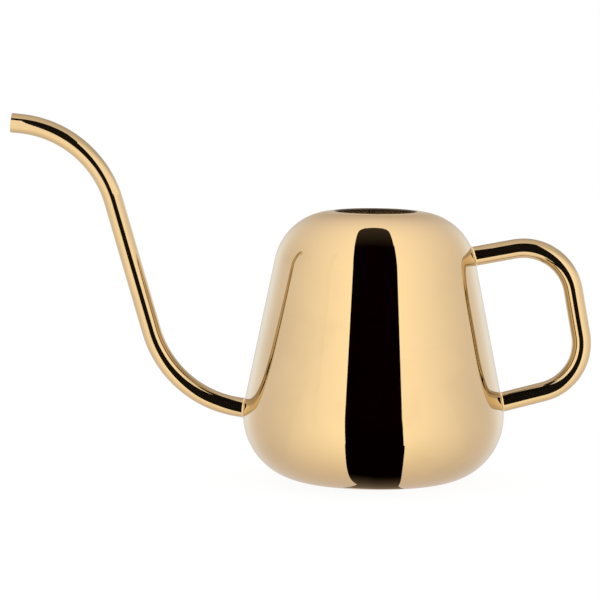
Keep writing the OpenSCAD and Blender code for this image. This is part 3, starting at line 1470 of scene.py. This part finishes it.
@dataclass(frozen=True)
class Polish:
    """Polished gold-coloured metal, with the duller metal of its inside.

    Attributes:
        name: the material's name.
        buffing: which way its fine lines run.
        colour: reflectance of the polished metal, face on.
        lip_colour: dark reflectance of the lip, where the inside begins, which is painted shade.
        inside_colour: reflectance of the inside.
        roughness: of the polished surface, at its cleanest.
        inside_roughness: of the inside.
        metal: share of the light that is reflected as bare metal does; a lacquer scatters the rest.
        inside_metal: the same for the inside.
        line_depth: height of the buffing lines.
        ripple_depth: height of the sheet's unevenness.
        painted_top_shade: share of the reflectance taken away on what faces up: painted shade.
        top_shade_span: height of the normal at which that painted shade begins, and at which it
            is whole.
        smudge_shade: share of the colour that is left in a smudge.
        raw_shade: share of the inside's colour that is left along its lines.
        line_haze: what the buffing lines add to the roughness.
        smudge_haze: what a smudge adds.
        hairline_haze: what a hairline adds.
        raw_haze: what its lines add to the inside's roughness.
    """

    name: str
    buffing: Buffing
    colour: Colour = (0.62, 0.495, 0.318)
    lip_colour: Colour = (0.085, 0.066, 0.042)
    inside_colour: Colour = (0.88, 0.76, 0.56)
    roughness: float = 0.015
    inside_roughness: float = 0.40
    metal: float = 1.0
    inside_metal: float = 0.3
    line_depth: float = 0.01e-6
    ripple_depth: float = 0.5e-6
    painted_top_shade: float = 0.0
    top_shade_span: tuple[float, float] = (0.25, 0.6)
    smudge_shade: float = 0.95
    raw_shade: float = 0.85
    line_haze: float = 0.01
    smudge_haze: float = 0.02
    hairline_haze: float = 0.05
    raw_haze: float = 0.15

    def top_shade_share(self, tree: Tree) -> Socket:
        """Share of the painted top shade at each point: none on upright metal, all on what faces up.

        Args:
            tree: the material's node tree.

        Returns:
            The share, which eases from 0 to 1 as the normal's height goes through the shade's span.
        """
        facing = put(tree, "NewGeometry").outputs["Normal"]
        upward = put(tree, "SeparateXYZ", {0: facing}).outputs["Z"]
        return ramp(tree, upward, *self.top_shade_span, "SMOOTHSTEP")

    def material(self, effects: Effects) -> bpy.types.Material:
        """The finish as a material.

        Roughness rises a little along the buffing lines, in smudges and on hairlines, and the
        colour deepens slightly in the smudges. Painted shade darkens the colour on what faces up.
        The corner attribute "inside" turns it into the lip's dark colour, which is painted shade,
        at half its range and into the inside's at its end, and its roughness and metal into the
        inside's at half.

        Args:
            effects: the shared node groups.

        Returns:
            The material.
        """
        material = bpy.data.materials.new(self.name)
        tree = emptied(material)
        place = put(tree, "TexCoord").outputs["Object"]
        grain = put(tree, "Attribute", attribute_name="grain").outputs["Vector"]
        inside = put(tree, "Attribute", attribute_name="inside").outputs["Fac"]
        round_cells, along_cells = self.buffing.value
        lines = put(tree, "Group", {"Grain": grain, "Round": round_cells, "Along": along_cells},
                    node_tree=effects.lines).outputs["Lines"]
        smudge, hairline = put(tree, "Group", {"Place": place}, node_tree=effects.marks).outputs
        ripple = put(tree, "Group", {"Place": place}, node_tree=effects.ripple).outputs["Height"]

        polished = tint(tree, smudge, opaque(self.colour), opaque(self.colour, self.smudge_shade))
        # Painted shade: the colour is darker on what faces up.
        shaded_top = opaque(self.colour, 1 - self.painted_top_shade)
        outer = tint(tree, self.top_shade_share(tree), polished, shaded_top)
        dull = tint(tree, lines, opaque(self.inside_colour), opaque(self.inside_colour, self.raw_shade))
        # Painted shade: the lip of the mouth, and the inner corner of a tube's cut end, take the dark lip
        # colour.
        lip = ramp(tree, inside, 0.0, SHADED)
        shaded = tint(tree, lip, outer, opaque(self.lip_colour))
        colour = tint(tree, ramp(tree, inside, SHADED, 1.0), shaded, dull)

        smooth = vary(tree, lines, self.roughness, self.roughness + self.line_haze)
        smudged = calculate(tree, "MULTIPLY_ADD", smudge, self.smudge_haze, smooth)
        scratched = calculate(tree, "MULTIPLY_ADD", hairline, self.hairline_haze, smudged)
        brushed = vary(tree, lines, self.inside_roughness, self.inside_roughness + self.raw_haze)

        sheet = calculate(tree, "MULTIPLY", ripple, self.ripple_depth)
        height = calculate(tree, "MULTIPLY_ADD", lines, self.line_depth, sheet)
        bump = put(tree, "Bump", {"Height": height, "Distance": 1.0, "Strength": 1.0})
        shader = put(tree, "BsdfPrincipled", {
            "Base Color": colour, "Metallic": vary(tree, lip, self.metal, self.inside_metal),
            "Roughness": vary(tree, lip, scratched, brushed), "Normal": bump.outputs[0]})
        put(tree, "OutputMaterial", {"Surface": shader.outputs[0]}, is_active_output=True)
        return material


# Studio


@dataclass(frozen=True)
class Glow:
    """A broad soft light all round one direction, at strength exp(sharpness (cos angle - 1)).

    Attributes:
        azimuth: direction of its middle round Z, from 0 towards the camera (-Y) to 90 on the right.
        elevation: direction of its middle above level.
        sharpness: how fast it fades away from its middle.
        colour: its radiance in the middle; a negative one takes light away.
    """

    azimuth: float
    elevation: float
    sharpness: float
    colour: Colour

    @property
    def direction(self) -> Place:
        """The way to its middle: (sin a cos e, -cos a cos e, sin e) at azimuth a and elevation e.

        Returns:
            The unit vector.
        """
        turn, lift = np.radians(self.azimuth), np.radians(self.elevation)
        level = float(np.cos(lift))
        return float(np.sin(turn)) * level, -float(np.cos(turn)) * level, float(np.sin(lift))


def stage_piece(mesh: bpy.types.Mesh, material: bpy.types.Material) -> bpy.types.Object:
    """Adds a piece of the studio, named after its mesh.

    Args:
        mesh: its shape.
        material: what it shows.

    Returns:
        The piece's object.
    """
    mesh.materials.append(material)
    piece = add_object(mesh.name, mesh)
    return piece


def only_reflected(piece: bpy.types.Object) -> None:
    """Hides a piece of the studio from all but glossy rays."""
    piece.visible_camera = piece.visible_diffuse = piece.visible_shadow = False
    piece.visible_transmission = piece.visible_volume_scatter = False


@dataclass(frozen=True)
class DarkPanel:
    """A black panel in three sheets: one far off in front of the can, one over it and one under it.

    Only reflections see it: it gives polished metal the dark upright stripe that shows its shape.
    Its rows are named by their elevation, as seen from the body's front. Between reach_down and
    reach_up they belong to the far sheet, above to a level one close over the can and below to a
    sloping one close under it. Half its width is its width at the eye and a share of the
    distance, which falls off with elevation as a cosine does.

    Attributes:
        eye: the point on the body's front that the elevations are measured from.
        eye_swing: how far that point moves up or down the body for rows overhead or below.
        swing_over: elevation, up or down, at which it has made three quarters of that move.
        bottom: elevation of the lower end, counted down past straight below to the back.
        top: elevation of the upper end, counted up past overhead.
        round_end: angle over which the upper end's corners are rounded.
        roundness: power of the curve that rounds them.
        reach_up: elevation at which the sheet above takes over from the far one.
        reach_down: elevation at which the sheet below does.
        overlap: how far the sheets' rows reach past each other.
        far: distance of the far sheet.
        above: height of the sheet above over the eye.
        below: depth of the sheet below under the eye, at its left edge, middle and right edge.
        width: half the width that is there at any distance.
        share: what half the width gains, as a share of the distance, at eye level.
        fall_up: how many degrees of the cosine each degree above eye level counts for.
        fall_down: the same below.
        least: the least that the cosine comes to, at the lower end.
        turn: place of the middle of its width, as a share of the distance.
        lean: how much of that a row overhead loses and one straight below gains.
        black: radiance of its front.
        grey: radiance of its lower end, lit from behind the can.
        grey_rise: power of the share of the way from straight down at which the grey grows.
        grey_above: share of the grey at its upper end.
        grey_from: elevation from which that grows evenly.
        columns: points across each sheet.
    """

    eye: Place = (-0.0015, -0.055, 0.08)
    eye_swing: float = 0.06
    swing_over: float = 30.0
    bottom: float = -150.0
    top: float = 111.0
    round_end: float = 14.0
    roundness: float = 3.0
    reach_up: float = 62.0
    reach_down: float = -34.0
    overlap: float = 3.0
    far: float = 1.4
    above: float = 0.13
    below: tuple[float, float, float] = (0.27, 0.07, 0.04)
    width: float = 0.0125
    share: float = 0.468
    fall_up: float = 0.72
    fall_down: float = 0.635
    least: float = 0.18
    turn: float = 0.015
    lean: float = 0.030
    black: Colour = (0.002, 0.0, 0.0)
    grey: Colour = (0.27, 0.215, 0.16)
    grey_rise: float = 1.5
    grey_above: float = 0.2
    grey_from: float = 60.0
    columns: int = 9

    def sheet(self, first: float, last: float, near: bool) -> tuple[Array, Array]:
        """One of the three sheets.

        A row's distance is the far one, or the height of the sheet above or below divided by the
        sine of the elevation. The grey grows from straight down to the lower end and, less of it,
        to the upper end. A share c of the way into the rounded end leaves (1 - (1 - c)^p)^(1 / p)
        of the width, with p the roundness.

        Args:
            first: elevation of its first row.
            last: elevation of its last row.
            near: whether it is the one above or the one below.

        Returns:
            Its points, (rows, columns, 3), and the share of grey at each.
        """
        elevation = np.linspace(first, last, round(abs(last - first)) + 1)[:, None]
        lift = np.radians(elevation)
        side = np.linspace(-1, 1, self.columns)
        fall = np.where(elevation > 0, self.fall_up, self.fall_down)
        spread = np.maximum(np.cos(fall * lift), self.least)
        corner = np.clip((self.top - elevation) / self.round_end, 0, 1)
        rounded = (1 - (1 - corner)**self.roundness)**(1 / self.roundness)
        depth = np.interp(side, [-1, 0, 1], self.below)
        height = np.where(elevation > 0, self.above, depth)
        distance = height / np.abs(np.sin(lift)) if near else self.far + 0 * depth
        half = rounded * (self.width + self.share * spread * distance)
        middle = distance * (self.turn - self.lean * np.sin(lift))
        eye_height = self.eye[2] + self.eye_swing * np.tanh(elevation / self.swing_over)
        points = np.stack([self.eye[0] + middle + half * side,
                           self.eye[1] - distance * np.cos(lift),
                           eye_height + distance * np.sin(lift)], axis=-1)
        under = np.clip((-90 - elevation) / (-90 - self.bottom), 0, 1)**self.grey_rise
        over = self.grey_above * np.clip((elevation - self.grey_from) / (self.top - self.grey_from), 0, 1)
        return points, under + over + 0 * side

    def build(self) -> None:
        """Makes the three sheets as one piece of the studio that is only reflected."""
        sheets = [self.sheet(self.bottom, self.reach_down + self.overlap, near=True),
                  self.sheet(self.reach_down - self.overlap, self.reach_up + self.overlap, near=False),
                  self.sheet(self.reach_up - self.overlap, self.top, near=True)]
        starts = np.cumsum([0] + [share.size for _, share in sheets[:-1]])
        faces = [grid_faces(*share.shape, first).reshape(-1, 4)
                 for (_, share), first in zip(sheets, starts)]
        mesh = bpy.data.meshes.new("dark_panel")
        mesh.from_pydata(np.concatenate([points.reshape(-1, 3) for points, _ in sheets]), [],
                         np.concatenate(faces))
        lit = np.concatenate([share.ravel() for _, share in sheets])
        mesh.attributes.new("lit", "FLOAT", "POINT").data.foreach_set("value", lit)

        material = bpy.data.materials.new("dark_panel")
        tree = emptied(material)
        share = put(tree, "Attribute", attribute_name="lit").outputs["Fac"]
        glow = tint(tree, share, opaque(self.black), opaque(self.grey))
        shader = put(tree, "Emission", {"Color": glow, "Strength": 1.0})
        put(tree, "OutputMaterial", {"Surface": shader.outputs[0]})
        only_reflected(stage_piece(mesh, material))


@dataclass(frozen=True)
class WhiteCard:
    """An upright white card that hides part of the dark panel from one stretch of the spout.

    It can be seen from one side only: the side on the left of the way from its start to its end,
    as seen from above.

    Attributes:
        start: (x, y) of its first upright edge.
        end: (x, y) of the other.
        foot: height of its lower edge.
        head: height of its upper edge.
        glow: its radiance, which is that of the studio behind it.
    """

    start: tuple[float, float]
    end: tuple[float, float]
    foot: float
    head: float
    glow: Colour

    def build(self) -> None:
        """Makes the card as a piece of the studio that is only reflected."""
        corners = [(*self.end, self.foot), (*self.start, self.foot),
                   (*self.start, self.head), (*self.end, self.head)]
        mesh = bpy.data.meshes.new("white_card")
        mesh.from_pydata(corners, [], [(0, 1, 2, 3)])
        material = bpy.data.materials.new("white_card")
        tree = emptied(material)
        bright = put(tree, "Emission", {"Color": opaque(self.glow), "Strength": 1.0})
        clear = put(tree, "BsdfTransparent")
        behind = put(tree, "NewGeometry").outputs["Backfacing"]
        shader = put(tree, "MixShader", {0: behind, 1: bright.outputs[0], 2: clear.outputs[0]})
        put(tree, "OutputMaterial", {"Surface": shader.outputs[0]})
        only_reflected(stage_piece(mesh, material))


@dataclass(frozen=True)
class Studio:
    """The white studio: what surrounds the can, the floor, the dark panel and the white cards.

    Attributes:
        base: radiance that comes from everywhere.
        glows: broad soft lights and shades on top of it.
        brightness: what both are multiplied by.
        panel: the dark panel.
        cards: the white cards, one by the spout's tip and one between its bend and the panel.
        floor_size: side of the floor.
        floor_white: share of the floor that is plain white, which leaves the rest to show shadow.
        floor_glow: radiance of that share.
        floor_colour: reflectance of the rest.
    """

    base: Colour = (0.408, 0.393, 0.530)
    glows: tuple[Glow, ...] = (
        Glow(0, -9.5, 0.59, (1.073, 0.940, 0.495)),
        Glow(0, 90, 2.21, (0.402, 0.332, 0.195)),
        Glow(0, -90, 1.69, (-0.122, -0.155, -0.182)),
        Glow(158, 1, 11.3, (0.43, 0.60, 0.75)),
        Glow(-158, 1, 11.3, (0.43, 0.60, 0.75)),
        Glow(180, 5, 7.6, (-0.580, -0.736, -0.942)),
    )
    brightness: float = 1.155
    panel: DarkPanel = DarkPanel()
    cards: tuple[WhiteCard, ...] = (
        WhiteCard(start=(-0.27, -0.20), end=(-0.205, -0.20), foot=0.0, head=0.35,
                  glow=(1.44, 1.29, 1.03)),
        WhiteCard(start=(-0.09, -0.15), end=(-0.09, 0.01), foot=0.175, head=0.30,
                  glow=(1.51, 1.36, 1.07)),
    )
    floor_size: float = 8.0
    floor_white: float = 0.92
    floor_glow: float = 1.02
    floor_colour: Colour = (0.98, 0.98, 0.98)

    def light(self) -> None:
        """Lights the scene: plain white all round, and the soft lights for what is reflected."""
        world = bpy.data.worlds.new("studio")
        bpy.context.scene.world = world
        tree = emptied(world)
        ray = put(tree, "TexCoord").outputs["Generated"]
        total = put(tree, "CombineXYZ", dict(enumerate(self.base))).outputs[0]
        for glow in self.glows:
            toward = put(tree, "VectorMath", {0: ray, 1: glow.direction}, operation="DOT_PRODUCT")
            power = calculate(tree, "MULTIPLY_ADD", toward.outputs["Value"], glow.sharpness,
                              -glow.sharpness)
            strength = calculate(tree, "EXPONENT", power)
            lit = put(tree, "VectorMath", {0: glow.colour, "Scale": strength}, operation="SCALE")
            total = put(tree, "VectorMath", {0: total, 1: lit.outputs[0]}, operation="ADD").outputs[0]
        reflected = put(tree, "Background", {"Color": total, "Strength": self.brightness})
        white = put(tree, "Background", {"Color": (1, 1, 1, 1), "Strength": 1.0})
        glossy = put(tree, "LightPath").outputs["Is Glossy Ray"]
        either = put(tree, "MixShader", {0: glossy, 1: white.outputs[0], 2: reflected.outputs[0]})
        put(tree, "OutputWorld", {"Surface": either.outputs[0]})

    def lay_floor(self) -> None:
        """Lays the pale floor, which keeps the can's soft shadow."""
        half = self.floor_size / 2
        mesh = bpy.data.meshes.new("floor")
        mesh.from_pydata([(-half, -half, 0), (half, -half, 0), (half, half, 0), (-half, half, 0)], [],
                         [(0, 1, 2, 3)])
        material = bpy.data.materials.new("floor")
        tree = emptied(material)
        shade = put(tree, "BsdfDiffuse", {"Color": opaque(self.floor_colour)})
        white = put(tree, "Emission", {"Color": (1, 1, 1, 1), "Strength": self.floor_glow})
        mixed = put(tree, "MixShader", {0: self.floor_white, 1: shade.outputs[0], 2: white.outputs[0]})
        put(tree, "OutputMaterial", {"Surface": mixed.outputs[0]})
        stage_piece(mesh, material).visible_glossy = False

    def build(self) -> None:
        """Sets up the light, the floor, the panel and the cards."""
        self.light()
        self.lay_floor()
        self.panel.build()
        for card in self.cards:
            card.build()


@dataclass(frozen=True)
class Viewpoint:
    """The camera, straight in front of the can and a little above it.

    Attributes:
        place: where it stands.
        aim: the point it looks at.
        lens: focal length in millimetres.
        sensor: width of its sensor in millimetres.
        sight: distance past which it sees nothing.
        roll: angle by which the can leans to the right in the frame.
    """

    place: Place = (0.0, -1.960, 0.2907)
    aim: Place = (-0.0417, 0.0, 0.1007)
    lens: float = 211.4
    sensor: float = 36.0
    sight: float = 50.0
    roll: float = 0.573

    def build(self) -> None:
        """Makes the camera and gives it to the scene.

        The camera's axes are its right, its up and its back; right and up are turned by the roll.
        """
        back = (Vector(self.place) - Vector(self.aim)).normalized()
        right = Vector((0, 0, 1)).cross(back).normalized()
        up = back.cross(right)
        turn = Matrix.Rotation(np.radians(self.roll), 3, back)
        right, up = turn @ right, turn @ up
        data = bpy.data.cameras.new("camera")
        data.lens, data.sensor_width, data.clip_end = self.lens, self.sensor, self.sight
        camera = add_object("camera", data)
        axes = Matrix((right, up, back)).transposed().to_4x4()
        camera.matrix_world = Matrix.Translation(self.place) @ axes
        bpy.context.scene.camera = camera


def main() -> None:
    """Builds the studio and then the can, one sub-assembly after the other."""
    logging.basicConfig(level=logging.INFO, format="%(name)s: %(message)s", stream=sys.stdout)
    bpy.context.scene.view_settings.view_transform = "Standard"
    Viewpoint().build()
    Studio().build()

    effects = Effects()
    sheet = Polish("polished_sheet", Buffing.ROUND).material(effects)
    # The tubes carry painted shade on what faces up.
    tube = Polish("polished_tube", Buffing.LENGTHWISE, metal=0.988, line_depth=0.005e-6,
                  painted_top_shade=0.42).material(effects)
    weld = Polish("dressed_weld", Buffing.DABBED, colour=(0.71, 0.56, 0.35), roughness=0.16,
                  line_depth=0.3e-6).material(effects)

    shape = BodyShape.from_frame()
    stock = TubeStock.from_frame()
    spout = Spout(shape, stock)
    SheetBody(shape, spout.foot).build(sheet, weld)
    spout.build(tube, weld)
    Handle(shape, stock).build(tube, weld)


if __name__ == "__main__":
    main()
